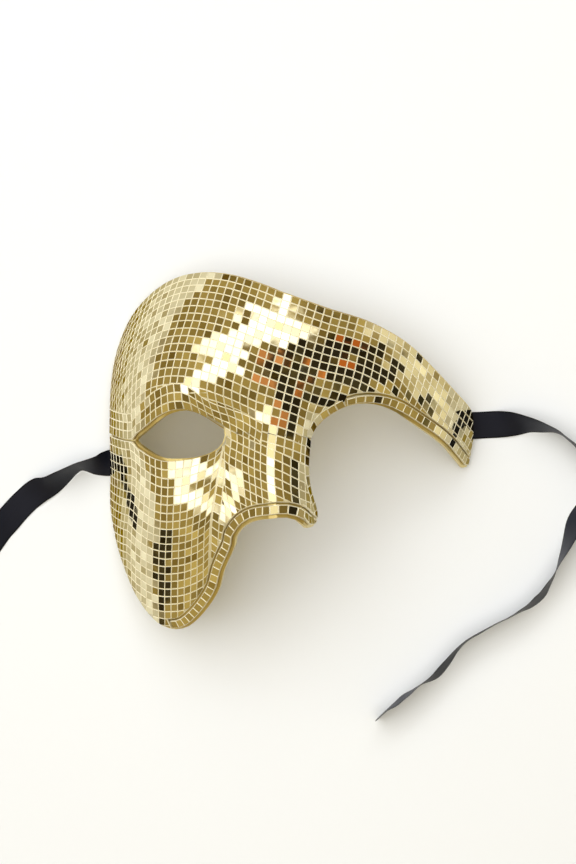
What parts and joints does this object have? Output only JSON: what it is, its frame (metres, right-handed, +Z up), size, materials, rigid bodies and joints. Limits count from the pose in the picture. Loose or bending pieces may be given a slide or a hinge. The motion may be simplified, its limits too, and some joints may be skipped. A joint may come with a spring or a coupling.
{
  "type": "masquerade half mask",
  "caption": "Masquerade half mask for one side of the face: a moulded shell with an eye hole, a nose and a long brow band, covered in small mirror tiles, with a ribbon at each end.",
  "frame": {"origin": "middle of the base of the mask's own box, on the surface that it lies on, ribbons left out", "axes": "+Z up from the surface, out of the face; +Y up the face, towards the forehead; +X across it, towards the end of the brow band"},
  "size_m": [0.3081, 0.215, 0.0746],
  "materials": {
    "gold_shell": "gold lacquer, glossy",
    "mirror_tiles": "gold-backed mirror glass",
    "black_satin": "satin weave"
  },
  "bodies": {
    "root": {"mask_shell": "gold_shell", "forehead_mosaic": "mirror_tiles", "face_mosaic": "mirror_tiles", "band_edge_row": "mirror_tiles", "face_edge_row": "mirror_tiles", "ribbon_ear_side": "black_satin", "ribbon_band_side": "black_satin"}
  },
  "joints": []
}
